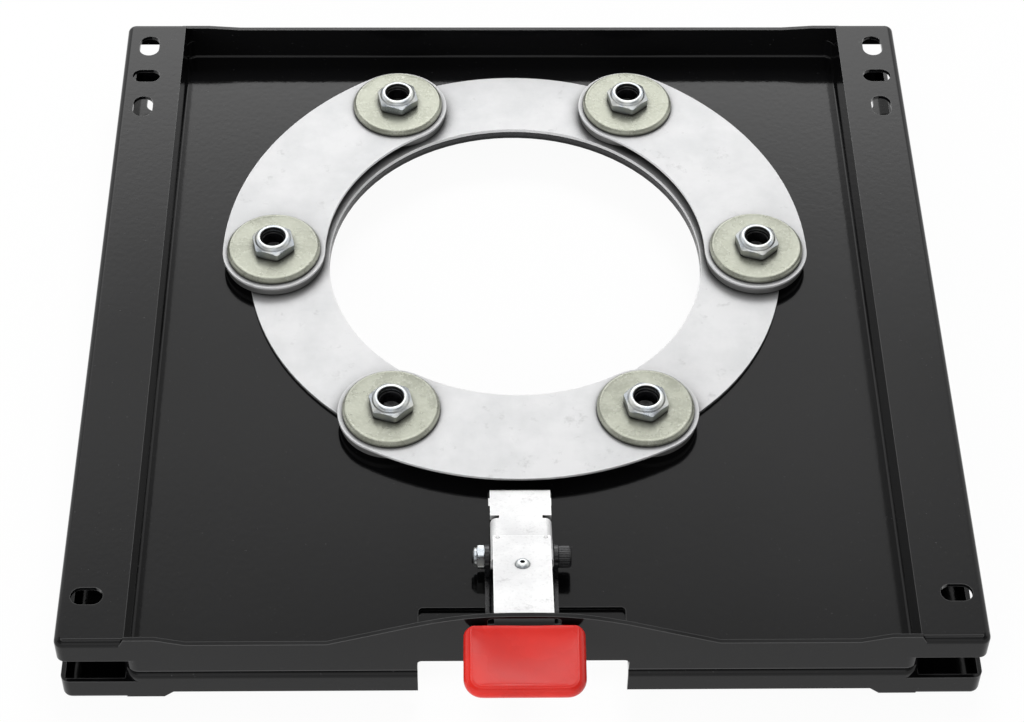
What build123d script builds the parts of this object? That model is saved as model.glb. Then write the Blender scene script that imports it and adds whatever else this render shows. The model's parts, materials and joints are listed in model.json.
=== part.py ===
from build123d import *
from math import cos, radians, sin, sqrt, tan
import os

# Swivel seat base for a caravan or camper seat, in millimetres.
# Two pressed steel trays lie back to back. The lower one is bolted to the vehicle and
# the upper one carries the seat and turns on a ring that is clamped to the lower one.
# A spring-loaded lever drops a tooth through both floors to hold the seat forward.
# Frame: origin in the middle of the lower bolt pattern, on the plane of the soles,
# +X to the right, +Y away from the lever, +Z up.

# Sheet and trays
sheet = 2.0
tray_width = 400.0
rail_width = 30.0
flange_drop = 13.0
seat_rise = 23.3
base_rise = 18.1
slip_gap = 0.1
pan_corner = 6.5
rail_corner = 4.0
bend_outside = 3.2

# Bolt slots in the rails and soles
slot_inset = 12.3
slot_pitch_y = 328.0
front_slot_inset = 25.0
rear_slot_inset = 40.0
cross_slot_length = 14.0
cross_slot_width = 9.0
long_slot_length = 14.5
long_slot_width = 10.0
long_slot_pitch = 45.3

# Ring stack on the swivel axis, in the room that the seat floor leaves
floor_before_hole = 114.7
floor_behind_hole = 23.7
ring_running_gap = 0.3
ring_lap = 2.7
ring_thick = 2.0
bolts_inside_hole = 9.3
bolts_to_centre_hole = 26.8
bolt_count = 6
bolt_d = 12.0
bolt_hole_play = 1.0
bolt_head_flats = 18.0
bolt_head_height = 7.5
bolt_head_chamfer = 0.75
bolt_tip_recess = 2.2
bolt_tip_chamfer = 1.0
segment_count = 3
segment_width = 50.0
segment_thick = 1.5
disc_d = 48.4
disc_thick = 4.5
washer_d = 45.5
washer_thick = 3.0
washer_rim_slope = 0.9
washer_rim_drop = 0.6
nut_flats = 19.0
nut_height = 7.0
nut_hex_height = 4.9
nut_collar_wall = 1.0
nut_lip_play = 1.2
insert_wall = 1.2
insert_height = 1.3
nut_lip_thick = 0.5
thread_gap = 0.05

# Front and rear flange of the seat tray, from its rails and pan walls
corner_rim_rise = 2.0
corner_rim_inset = 15.0
dip_drop = 1.5
dip_inset = 28.0
ramp_x = 84.0
shoulder_x = 45.0
shoulder_drop = 8.2
arch_lead = 0.5
arch_flat_x = 15.0
arch_over_slot = 4.8
rear_rim_inset = 14.0
rear_dip_inset = 30.0
rear_dip_drop = 2.8

# Front and rear flange of the base tray
sole_flange_inset = 16.2
sole_step_run = 4.2
centre_flange_z = 5.2

# Hand window under the lever
window_width = 91.0
window_rise = 7.3
seat_window_depth = 33.3
base_window_depth = 25.9
window_corner = 2.0

# Release lever and latch
tooth_to_pivot = 41.2
pivot_height = 30.0
lever_tilt = 17.2
pivot_d = 6.0
pivot_running_gap = 0.08
pivot_clearance = 0.15
plate_top = 8.0
plate_sheet = 2.5
lever_sheet = 2.0
latch_width = 27.4
hole_to_tooth = 19.9
tooth_clearance = 0.3
tooth_bend_r = 2.75
notch_back = 20.6
notch_length = 2.2
notch_depth = 4.0
channel_front = 3.0
channel_end = 6.4
channel_foot_gap = 3.0
web_step = 2.4
web_front = 27.0
lever_inset = 0.95
lever_back = 2.3
lever_ear_front = 14.0
ear_r = 5.5
shoulder_bend = 3.0
relief_r = 0.9
relief_inset = 2.15
bend_behind_flange = 4.5
lever_bend_r = 12.0
paddle_droop = 9.0
paddle_length = 35.0
paddle_width = 45.0
paddle_start = 8.5
rivet_ahead = 19.1

# Tooth slot in both floors, lever slot in the arch
tooth_slot_side_gap = 0.6
tooth_slot_back = 2.6
tooth_slot_front = 5.0
lever_slot_side_gap = 2.75
lever_slot_above = 2.75
lever_slot_below = 9.5

# Pivot bracket
bracket_sheet = 2.0
bracket_bend_r = 3.0
bracket_side_gap = 0.5
bracket_back = 7.5
bracket_front = 25.0
bracket_ear_length = 13.0
bracket_rivet_d = 4.0
bracket_rivet_sink_r = 3.2
bracket_rivet_head_d = 7.5
bracket_rivet_head = 1.4
bracket_rivet_pitch = 9.0
pivot_head_d = 9.8
pivot_head_height = 5.8
pivot_chamfer = 0.6
pivot_socket_flats = 5.0
pivot_socket_depth = 3.0
pivot_nut_flats = 10.0
pivot_nut_height = 5.0
pivot_nut_hex_height = 3.5
pivot_nut_collar_d = 8.6
pivot_tip = 0.8
pivot_tip_chamfer = 0.4

# Pop rivet and return spring
rivet_d = 3.2
rivet_head_d = 6.8
rivet_head = 1.5
rivet_head_bulge = 0.6
rivet_bore_d = 2.2
rivet_tail_d = 4.6
rivet_tail = 2.2
spring_d = 10.0
spring_wire = 1.3
spring_turns = 4

# Dipped handle
grip_side_wall = 3.25
grip_nose = 2.9
grip_thick = 7.6
grip_flat_edge = 0.4
grip_back_round = 0.2
grip_front_corner = 8.0
grip_lip = 2.1

# Places worked out from the sizes above
y_front = -(slot_pitch_y / 2 + front_slot_inset)
y_rear = slot_pitch_y / 2 + rear_slot_inset
tray_depth = y_rear - y_front
tray_mid_y = (y_front + y_rear) / 2
half_width = tray_width / 2
pan_half = half_width - rail_width + sheet
pan_wall = base_rise - centre_flange_z
bend_inside = bend_outside - sheet
slot_x = half_width - slot_inset

seat_hole_r = (tray_depth - floor_before_hole - floor_behind_hole) / 2
axis_y = y_front + floor_before_hole + seat_hole_r
retaining_ring_r = seat_hole_r + ring_lap
bolt_circle_r = seat_hole_r - bolts_inside_hole
centre_hole_r = bolt_circle_r - bolts_to_centre_hole
bolt_hole_d = bolt_d + bolt_hole_play
nut_lip_d = bolt_d + nut_lip_play
insert_d = bolt_d + 2 * insert_wall
nut_collar_d = insert_d + 2 * nut_collar_wall

base_top_z = base_rise
seat_under_z = base_top_z + slip_gap
seat_top_z = seat_under_z + sheet
rail_top_z = seat_under_z + seat_rise
spacer_ring_thick = sheet + 2 * slip_gap
ring_z = base_top_z + spacer_ring_thick
disc_z = ring_z + ring_thick
segment_z = disc_z + disc_thick
washer_z = segment_z + segment_thick
nut_z = washer_z + washer_thick
nut_top_z = nut_z + nut_height

corner_rim_z = rail_top_z + corner_rim_rise
dip_z = rail_top_z - dip_drop
rear_dip_z = rail_top_z - rear_dip_drop
sole_flange_x = pan_half - sole_flange_inset

tooth_y = axis_y - seat_hole_r - hole_to_tooth
pivot_y = tooth_y - tooth_to_pivot
tilt_cos = cos(radians(lever_tilt))
tilt_sin = sin(radians(lever_tilt))
ear_outside = latch_width / 2
bracket_inside = ear_outside + bracket_side_gap
bracket_outside = bracket_inside + bracket_sheet
bracket_top_z = seat_top_z + bracket_sheet
lever_width = latch_width - 2 * lever_inset
grip_edge = grip_thick / 2 - grip_flat_edge / 2
grip_back_corner = grip_edge + grip_back_round
grip_width = paddle_width + 2 * grip_side_wall
grip_start = paddle_start - grip_lip
grip_length = paddle_length + grip_nose - grip_start

os.makedirs("parts", exist_ok=True)


def write(piece, name):
    """Name a finished piece and write it as one STEP file."""
    piece.label = name
    export_step(piece, f"parts/{name}.step")


def axis_plane(z):
    """Level plane with its origin on the swivel axis."""
    return Plane(origin=(0, axis_y, z))


def bolt_plane(number, z):
    """Level plane with its origin on one of the clamp bolts."""
    angle = radians(number * 360 / bolt_count)
    return Plane(origin=(bolt_circle_r * cos(angle), axis_y + bolt_circle_r * sin(angle), z))


def front_plane(y):
    """Upright plane that faces the front, x to the right and y up."""
    return Plane(origin=(0, y, 0), x_dir=(1, 0, 0), z_dir=(0, -1, 0))


def lever_side_plane(x=0.0):
    """Upright plane of the lever: x runs forward along it, y is square to it, upwards."""
    return Plane(origin=(x, pivot_y, pivot_height), x_dir=(0, -tilt_cos, tilt_sin), z_dir=(-1, 0, 0))


def lever_flat_plane(above):
    """Plane along the lever at a height above its pivot: x to the right, y to the back."""
    foot = (0, pivot_y + above * tilt_sin, pivot_height + above * tilt_cos)
    return Plane(origin=foot, x_dir=(1, 0, 0), z_dir=(0, tilt_sin, tilt_cos))


def lever_end_plane(ahead):
    """Plane square to the lever at a distance ahead of its pivot: x to the right, y up."""
    foot = (0, pivot_y - ahead * tilt_cos, pivot_height + ahead * tilt_sin)
    return Plane(origin=foot, x_dir=(1, 0, 0), z_dir=(0, -tilt_cos, tilt_sin))


def lever_ahead(y, above):
    """Distance ahead of the pivot at which a line of the lever passes a given y."""
    return (pivot_y + above * tilt_sin - y) / tilt_cos


def rail_channel(side, top_z):
    """Open channel along one side: a flat with flanges turned down all round."""
    middle = side * (half_width - rail_width / 2)
    with BuildPart() as rail:
        with BuildSketch(Plane.XY.offset(top_z - flange_drop)):
            with Locations((middle, tray_mid_y)):
                Rectangle(rail_width, tray_depth)
        extrude(amount=flange_drop)
        outer_corners = rail.edges().filter_by(Axis.Z).sort_by(Axis.X)
        fillet(outer_corners[-2:] if side > 0 else outer_corners[:2], rail_corner)
        top_edges = rail.faces().sort_by(Axis.Z)[-1].edges().sort_by(Axis.X)
        fillet(top_edges[1:] if side > 0 else top_edges[:-1], bend_outside)
        with BuildSketch(Plane.XY.offset(top_z - flange_drop)):
            with Locations((middle, tray_mid_y)):
                Rectangle(rail_width - 2 * sheet, tray_depth - 2 * sheet)
        extrude(amount=flange_drop - sheet, mode=Mode.SUBTRACT)
    return rail.part


def tray_blank(rise, front_outline, rear_outline):
    """Pressed tray that stands on its floor, with both rails up at the given rise."""
    left_rail = rail_channel(-1, rise)
    right_rail = rail_channel(1, rise)
    with BuildPart() as blank:
        with BuildSketch():
            with Locations((0, tray_mid_y)):
                RectangleRounded(2 * pan_half, tray_depth, pan_corner)
        extrude(amount=pan_wall)
        fillet(blank.faces().sort_by(Axis.Z)[0].edges(), bend_outside)
        with BuildSketch(Plane.XY.offset(sheet)):
            with Locations((0, tray_mid_y)):
                RectangleRounded(2 * (pan_half - sheet), tray_depth - 2 * sheet, pan_corner - sheet)
        extrude(amount=pan_wall, mode=Mode.SUBTRACT)
        pan_floor = blank.faces().filter_by(Axis.Z).group_by(Axis.Z)[1][0]
        fillet(pan_floor.edges(), bend_inside)
        add(left_rail)
        add(right_rail)
        for y, outline in ((y_front, front_outline), (y_rear - sheet, rear_outline)):
            with BuildSketch(front_plane(y)):
                with BuildLine():
                    outline(rise)
                make_face()
                mirror(about=Plane.YZ)
            extrude(amount=-sheet)
    return blank.part


def seat_front_outline(rise):
    """Right half of the seat tray's front flange, from the middle out and back over the arch."""
    foot = rise - flange_drop
    rim = Polyline(
        (0, foot),
        (pan_half, foot),
        (pan_half, rise - bend_outside / 2),
        (pan_half - sheet, corner_rim_z - seat_under_z),
        (pan_half - corner_rim_inset, corner_rim_z - seat_under_z),
        (pan_half - dip_inset, dip_z - seat_under_z),
        (ramp_x, dip_z - seat_under_z),
        (shoulder_x, shoulder_z - seat_under_z),
    )
    ramp_run = shoulder_x - ramp_x
    ramp_climb = shoulder_z - dip_z
    arch = Bezier(
        rim @ 1,
        (shoulder_x + ramp_run * arch_lead, shoulder_z - seat_under_z + ramp_climb * arch_lead),
        (arch_flat_x, arch_top_z - seat_under_z),
        (0, arch_top_z - seat_under_z),
    )
    Line(arch @ 1, rim @ 0)


def seat_rear_outline(rise):
    """Right half of the seat tray's rear flange, level with the rails and dipped between them."""
    foot = rise - flange_drop
    rim = rise - bend_outside / 2
    Polyline(
        (0, foot),
        (pan_half, foot),
        (pan_half, rim),
        (pan_half - rear_rim_inset, rim),
        (pan_half - rear_dip_inset, rear_dip_z - seat_under_z),
        (0, rear_dip_z - seat_under_z),
        close=True,
    )


def base_end_outline(rise):
    """Right half of a base tray end flange: down to the sole, then stepped up in the middle."""
    foot = rise - flange_drop
    rim = rise - bend_outside / 2
    Polyline(
        (0, foot),
        (pan_half, foot),
        (pan_half, rim),
        (sole_flange_x, rim),
        (sole_flange_x - sole_step_run, rise - centre_flange_z),
        (0, rise - centre_flange_z),
        close=True,
    )


def bolt_slots(z):
    """Bolt slots of one tray: three at the back of each rail and one at the front."""
    with BuildSketch(Plane.XY.offset(z)) as slots:
        with GridLocations(2 * slot_x, slot_pitch_y, 2, 2):
            SlotOverall(cross_slot_length, cross_slot_width)
        with Locations((0, slot_pitch_y / 2)):
            with GridLocations(2 * slot_x, long_slot_pitch, 2, 2):
                SlotOverall(long_slot_length, long_slot_width, rotation=90)
    return slots.sketch


def floor_window(z, depth):
    """Part of the hand window that is cut back into a floor from the front edge."""
    with BuildSketch(Plane.XY.offset(z)) as window:
        with Locations((0, y_front)):
            RectangleRounded(window_width, 2 * depth, window_corner)
    return window.sketch


def flange_window(low_z, high_z):
    """Part of the hand window that is cut out of a front flange between two heights."""
    with BuildSketch(front_plane(y_front - sheet)) as window:
        with Locations((0, (low_z + high_z) / 2)):
            RectangleRounded(window_width, high_z - low_z, window_corner)
    return window.sketch


def tooth_slot(z):
    """Slot that the latch tooth drops through."""
    with BuildSketch(Plane.XY.offset(z)) as slot:
        with Locations((0, tooth_y + (tooth_slot_back - tooth_slot_front) / 2)):
            Rectangle(latch_width + 2 * tooth_slot_side_gap, tooth_slot_back + tooth_slot_front)
    return slot.sketch


def channel_section(width, top, depth, thick, bend):
    """Cross-section of a channel that is open below, with rounded shoulders."""
    with BuildSketch() as section:
        with Locations((0, top)):
            Rectangle(width, depth, align=(Align.CENTER, Align.MAX))
        fillet(section.vertices().group_by(Axis.Y)[-1], bend)
        with Locations((0, top - thick)):
            Rectangle(width - 2 * thick, depth, align=(Align.CENTER, Align.MAX), mode=Mode.SUBTRACT)
    return section.sketch


# Line of the lever, the slot that it passes through and the arch over that slot
lever_top = plate_top + lever_sheet
lever_end_y = y_front + bend_behind_flange
lever_end_ahead = lever_ahead(lever_end_y, lever_top)
lever_end_z = pivot_height + lever_end_ahead * tilt_sin + lever_top * tilt_cos
lever_slot_top_z = lever_end_z + lever_slot_above
lever_slot_bottom_z = lever_end_z - lever_slot_below
arch_top_z = lever_slot_top_z + arch_over_slot
shoulder_z = arch_top_z - shoulder_drop

# Base tray, turned over so that its rails are the soles
base_blank = tray_blank(base_rise, base_end_outline, base_end_outline)
base_blank = base_blank.mirror(Plane.XY).moved(Location((0, 0, base_rise)))
flange_cut = 2 * sheet + bend_outside
rear_notch_depth = y_rear - (2 * axis_y - tooth_y - tooth_slot_back)

with BuildPart() as base_tray:
    add(base_blank)
    with BuildSketch(axis_plane(base_top_z)):
        Circle(centre_hole_r)
        with PolarLocations(bolt_circle_r, bolt_count):
            Circle(bolt_hole_d / 2)
    extrude(amount=-2 * sheet, mode=Mode.SUBTRACT)
    extrude(bolt_slots(0), amount=2 * sheet, both=True, mode=Mode.SUBTRACT)
    extrude(floor_window(base_top_z, base_window_depth), amount=-sheet, mode=Mode.SUBTRACT)
    extrude(flange_window(-base_rise, base_top_z + sheet), amount=-flange_cut, mode=Mode.SUBTRACT)
    extrude(tooth_slot(base_top_z), amount=-sheet, mode=Mode.SUBTRACT)
    with BuildSketch(front_plane(y_rear)):
        with Locations((0, base_top_z)):
            Rectangle(latch_width + 2 * tooth_slot_side_gap, 2 * (sheet + bend_inside))
    extrude(amount=rear_notch_depth, both=True, mode=Mode.SUBTRACT)
write(base_tray.part, "base_tray")

# Seat tray, floor down on the base tray
seat_blank = tray_blank(seat_rise, seat_front_outline, seat_rear_outline)
seat_blank = seat_blank.moved(Location((0, 0, seat_under_z)))
bracket_rivet_ys = (pivot_y + bracket_rivet_pitch / 2, pivot_y - bracket_rivet_pitch / 2)

with BuildPart() as seat_tray:
    add(seat_blank)
    with BuildSketch(axis_plane(seat_under_z)):
        Circle(seat_hole_r)
    extrude(amount=sheet, mode=Mode.SUBTRACT)
    extrude(bolt_slots(rail_top_z), amount=2 * sheet, both=True, mode=Mode.SUBTRACT)
    extrude(floor_window(seat_under_z, seat_window_depth), amount=sheet, mode=Mode.SUBTRACT)
    window_top_z = seat_top_z + window_rise
    extrude(flange_window(seat_under_z - sheet, window_top_z), amount=-flange_cut, mode=Mode.SUBTRACT)
    extrude(tooth_slot(seat_under_z), amount=sheet, mode=Mode.SUBTRACT)
    with BuildSketch(front_plane(y_front - sheet)):
        with Locations((0, (lever_slot_top_z + lever_slot_bottom_z) / 2)):
            lever_slot_width = lever_width + 2 * lever_slot_side_gap
            RectangleRounded(lever_slot_width, lever_slot_top_z - lever_slot_bottom_z, window_corner)
    extrude(amount=-3 * sheet, mode=Mode.SUBTRACT)
    for rivet_y in bracket_rivet_ys:
        with Locations(Location((0, rivet_y, seat_under_z), (180, 0, 0))):
            CounterSinkHole(bracket_rivet_d / 2, bracket_rivet_sink_r, sheet, 90)
write(seat_tray.part, "seat_tray")

# Ring stack: spacer ring, retaining ring, then discs, segments, washers and nuts
for name, outer_r, low_z, thick in (
    ("spacer_ring", seat_hole_r - ring_running_gap, base_top_z, spacer_ring_thick),
    ("retaining_ring", retaining_ring_r, ring_z, ring_thick),
):
    with BuildPart() as ring:
        with BuildSketch(axis_plane(low_z)):
            Circle(outer_r)
            Circle(centre_hole_r, mode=Mode.SUBTRACT)
            with PolarLocations(bolt_circle_r, bolt_count):
                Circle(bolt_hole_d / 2, mode=Mode.SUBTRACT)
        extrude(amount=thick)
    write(ring.part, name)

bolt_step = 360 / bolt_count
for number in range(segment_count):
    first_angle = number * 360 / segment_count
    with BuildPart() as segment:
        with BuildSketch(axis_plane(segment_z)):
            with BuildLine(mode=Mode.PRIVATE) as spine:
                CenterArc((0, 0), bolt_circle_r, first_angle, bolt_step)
            SlotArc(spine.edge(), segment_width)
            with PolarLocations(bolt_circle_r, 2, first_angle, 2 * bolt_step):
                Circle(bolt_hole_d / 2, mode=Mode.SUBTRACT)
        extrude(amount=segment_thick)
    write(segment.part, f"clamp_segment_{number + 1}")

for number in range(bolt_count):
    with BuildPart() as clamp_bolt:
        with BuildSketch(bolt_plane(number, base_top_z - sheet)):
            RegularPolygon(bolt_head_flats / 2, 6, major_radius=False)
        extrude(amount=-bolt_head_height)
        head_sole = clamp_bolt.faces().sort_by(Axis.Z)[0]
        chamfer(head_sole.edges(), bolt_head_chamfer)
        with BuildSketch(bolt_plane(number, base_top_z - sheet)):
            Circle(bolt_d / 2)
        extrude(amount=nut_top_z - bolt_tip_recess - base_top_z + sheet)
        chamfer(clamp_bolt.faces().sort_by(Axis.Z)[-1].edges(), bolt_tip_chamfer)
    write(clamp_bolt.part, f"clamp_bolt_{number + 1}")

    with BuildPart() as spacer_disc:
        with BuildSketch(bolt_plane(number, disc_z)):
            Circle(disc_d / 2)
            Circle(bolt_hole_d / 2, mode=Mode.SUBTRACT)
        extrude(amount=disc_thick)
    write(spacer_disc.part, f"spacer_disc_{number + 1}")

    with BuildPart() as washer:
        with BuildSketch(bolt_plane(number, washer_z)):
            Circle(washer_d / 2)
        extrude(amount=washer_thick)
        top_rim = washer.faces().sort_by(Axis.Z)[-1].edges()
        chamfer(top_rim, washer_rim_drop, washer_rim_slope)
        with BuildSketch(bolt_plane(number, washer_z)):
            Circle(bolt_hole_d / 2)
        extrude(amount=washer_thick, mode=Mode.SUBTRACT)
    write(washer.part, f"clamp_washer_{number + 1}")

    nut_base = bolt_plane(number, nut_z)
    nut_section = Plane(origin=nut_base.origin, x_dir=(1, 0, 0), z_dir=(0, -1, 0))
    nut_axis = Axis(nut_base.origin, (0, 0, 1))
    nut_point_r = nut_flats / sqrt(3)
    corner_drop = (nut_point_r - nut_flats / 2) * tan(radians(30))
    with BuildPart() as lock_nut:
        with BuildSketch(nut_base):
            RegularPolygon(nut_flats / 2, 6, major_radius=False)
        extrude(amount=nut_height)
        with BuildSketch(nut_section):
            with BuildLine():
                Polyline(
                    (0, 0),
                    (nut_flats / 2, 0),
                    (nut_point_r, corner_drop),
                    (nut_point_r, nut_hex_height - corner_drop),
                    (nut_flats / 2 - corner_drop, nut_hex_height),
                    (nut_collar_d / 2, nut_hex_height),
                    (nut_collar_d / 2, nut_height - nut_lip_thick),
                    (nut_collar_d / 2 - nut_lip_thick, nut_height),
                    (0, nut_height),
                    close=True,
                )
            make_face()
        revolve(axis=nut_axis, mode=Mode.INTERSECT)
        with BuildSketch(nut_section):
            with BuildLine():
                Polyline(
                    (0, 0),
                    (bolt_d / 2 + thread_gap, 0),
                    (bolt_d / 2 + thread_gap, nut_height - nut_lip_thick - insert_height),
                    (insert_d / 2, nut_height - nut_lip_thick - insert_height),
                    (insert_d / 2, nut_height - nut_lip_thick),
                    (nut_lip_d / 2, nut_height),
                    (0, nut_height),
                    close=True,
                )
            make_face()
        revolve(axis=nut_axis, mode=Mode.SUBTRACT)
    write(lock_nut.part, f"lock_nut_{number + 1}")

    with BuildPart() as nut_insert:
        with BuildSketch(bolt_plane(number, nut_top_z - nut_lip_thick - insert_height)):
            Circle(insert_d / 2)
            Circle(bolt_d / 2 + thread_gap, mode=Mode.SUBTRACT)
        extrude(amount=insert_height)
    write(nut_insert.part, f"nut_insert_{number + 1}")

# Pivot bracket: a plate on the seat floor with an ear each side of the lever
with BuildPart() as pivot_bracket:
    with BuildSketch(front_plane(pivot_y - bracket_front)):
        with BuildLine():
            bracket_line = FilletPolyline(
                (-bracket_outside, pivot_height + ear_r),
                (-bracket_outside, seat_top_z),
                (bracket_outside, seat_top_z),
                (bracket_outside, pivot_height + ear_r),
                radius=bracket_bend_r,
            )
            offset(bracket_line, amount=bracket_sheet, side=Side.LEFT)
        make_face()
    extrude(amount=-(bracket_back + bracket_front))
    side_view = Plane(origin=(0, pivot_y, pivot_height), x_dir=(0, 1, 0), z_dir=(1, 0, 0))
    with BuildSketch(side_view):
        Circle(ear_r)
        ear_foot = bracket_top_z + bracket_sheet - pivot_height
        ear_half = bracket_ear_length / 2
        Polygon((-ear_half, ear_foot), (ear_half, ear_foot), (ear_r, 0), (-ear_r, 0), align=None)
        with Locations(((bracket_back - bracket_front) / 2, seat_top_z - pivot_height)):
            Rectangle(
                bracket_back + bracket_front,
                2 * bracket_sheet + bracket_top_z - seat_top_z,
                align=(Align.CENTER, Align.CENTER),
            )
    extrude(amount=2 * bracket_outside, both=True, mode=Mode.INTERSECT)
    with BuildSketch(side_view):
        Circle(pivot_d / 2 + pivot_clearance)
    extrude(amount=2 * bracket_outside, both=True, mode=Mode.SUBTRACT)
    with Locations([(0, rivet_y, bracket_top_z) for rivet_y in bracket_rivet_ys]):
        Hole(bracket_rivet_d / 2)
write(pivot_bracket.part, "pivot_bracket")

# Rivets with low round heads that hold the bracket down, flush under the floor
dome_r = (bracket_rivet_head_d ** 2 / 4 + bracket_rivet_head ** 2) / (2 * bracket_rivet_head)
sink_depth = bracket_rivet_sink_r - bracket_rivet_d / 2

for number, rivet_y in enumerate(bracket_rivet_ys):
    with BuildPart() as bracket_rivet:
        with BuildSketch(front_plane(rivet_y)):
            with BuildLine():
                shank = Polyline(
                    (0, seat_under_z),
                    (bracket_rivet_sink_r, seat_under_z),
                    (bracket_rivet_d / 2, seat_under_z + sink_depth),
                    (bracket_rivet_d / 2, bracket_top_z),
                    (bracket_rivet_head_d / 2, bracket_top_z),
                )
                dome = RadiusArc(shank @ 1, (0, bracket_top_z + bracket_rivet_head), -dome_r)
                Line(dome @ 1, shank @ 0)
            make_face()
        revolve(axis=Axis((0, rivet_y, 0), (0, 0, 1)))
    write(bracket_rivet.part, f"bracket_rivet_{number + 1}")

# Pivot bolt with its socket head on the right and a lock nut on the left
pivot_right = Plane(origin=(bracket_outside, pivot_y, pivot_height), x_dir=(0, 1, 0), z_dir=(1, 0, 0))
pivot_left = Plane(origin=(-bracket_outside, pivot_y, pivot_height), x_dir=(0, 1, 0), z_dir=(-1, 0, 0))

with BuildPart() as pivot_bolt:
    with BuildSketch(pivot_right):
        Circle(pivot_head_d / 2)
    extrude(amount=pivot_head_height)
    chamfer(pivot_bolt.faces().sort_by(Axis.X)[-1].edges(), pivot_chamfer)
    with BuildSketch(pivot_right):
        Circle(pivot_d / 2)
    extrude(amount=-(2 * bracket_outside + pivot_nut_height + pivot_tip))
    chamfer(pivot_bolt.faces().sort_by(Axis.X)[0].edges(), pivot_tip_chamfer)
    with BuildSketch(pivot_right.offset(pivot_head_height)):
        RegularPolygon(pivot_socket_flats / 2, 6, major_radius=False)
    extrude(amount=-pivot_socket_depth, mode=Mode.SUBTRACT)
write(pivot_bolt.part, "pivot_bolt")

with BuildPart() as pivot_nut:
    with BuildSketch(pivot_left):
        RegularPolygon(pivot_nut_flats / 2, 6, major_radius=False, rotation=30)
        Circle(pivot_d / 2 + thread_gap, mode=Mode.SUBTRACT)
    extrude(amount=pivot_nut_hex_height)
    with BuildSketch(pivot_left):
        Circle(pivot_nut_collar_d / 2)
        Circle(pivot_d / 2 + thread_gap, mode=Mode.SUBTRACT)
    extrude(amount=pivot_nut_height)
    collar_end = pivot_nut.faces().sort_by(Axis.X)[0]
    chamfer(collar_end.edges().sort_by(SortBy.LENGTH)[-1], pivot_chamfer)
write(pivot_nut.part, "pivot_nut")

# Latch plate: a tongue with a bent tooth, a short channel and a web under the lever
tongue_back_y = tooth_y + plate_sheet / 2
tongue_ahead = lever_ahead(tongue_back_y, plate_top)
tongue_bend_z = pivot_height + tongue_ahead * tilt_sin + plate_top * tilt_cos
web_tip = lever_side_plane().from_local_coords(Vector(web_front, plate_top, 0))
tooth_tip_z = base_top_z + tooth_clearance
plate_channel = channel_section(latch_width, plate_top, plate_top, plate_sheet, shoulder_bend)
rivet_foot = lever_side_plane().from_local_coords(Vector(rivet_ahead, 0, 0))
rivet_axis = Axis(rivet_foot, (0, tilt_sin, tilt_cos))

with BuildPart() as latch_plate:
    with BuildSketch(Plane.YZ):
        with BuildLine():
            plate_line = FilletPolyline(
                (web_tip.Y, web_tip.Z),
                (tongue_back_y, tongue_bend_z),
                (tongue_back_y, tooth_tip_z),
                radius=tooth_bend_r + plate_sheet / 2,
            )
            offset(plate_line, amount=plate_sheet, side=Side.RIGHT)
        make_face()
    extrude(amount=latch_width / 2, both=True)
    with BuildSketch(lever_flat_plane(plate_top)):
        for side in (-1, 1):
            with Locations((side * latch_width / 2, (notch_back - web_front - sheet) / 2)):
                Rectangle(2 * web_step, notch_back + web_front + sheet)
            with Locations((side * latch_width / 2, notch_back - notch_length / 2)):
                Rectangle(2 * notch_depth, notch_length)
    extrude(amount=-plate_sheet, mode=Mode.SUBTRACT)
    with BuildSketch(lever_end_plane(notch_length - notch_back)):
        add(plate_channel)
    extrude(amount=notch_back - notch_length - channel_front)
    with BuildSketch(lever_side_plane(latch_width)):
        with Locations((-channel_end, plate_top - shoulder_bend)):
            Rectangle(2 * channel_end, 4 * ear_r, align=(Align.MIN, Align.MAX))
    extrude(amount=2 * latch_width, mode=Mode.SUBTRACT)
    with BuildSketch(Plane.XY.offset(bracket_top_z + channel_foot_gap)):
        with Locations((0, pivot_y)):
            Rectangle(2 * latch_width, 2 * notch_back)
    extrude(amount=-pivot_height, mode=Mode.SUBTRACT)
    with BuildSketch(lever_flat_plane(plate_top)):
        with Locations((0, -rivet_ahead)):
            Circle(rivet_d / 2)
    extrude(amount=-plate_sheet, mode=Mode.SUBTRACT)
write(latch_plate.part, "latch_plate")

# Release lever: a strip over the latch plate, with ears on the pivot and a wide drooping end
lever_tail = lever_side_plane().from_local_coords(Vector(-lever_back, lever_top, 0))
droop_cos = cos(radians(paddle_droop))
droop_sin = sin(radians(paddle_droop))
paddle_plane = Plane(
    origin=(0, lever_end_y, lever_end_z), x_dir=(1, 0, 0), z_dir=(0, -droop_sin, droop_cos)
)
ear_depth = lever_sheet + shoulder_bend
ear_channel = channel_section(latch_width, lever_top, ear_depth, lever_sheet, shoulder_bend)

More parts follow.
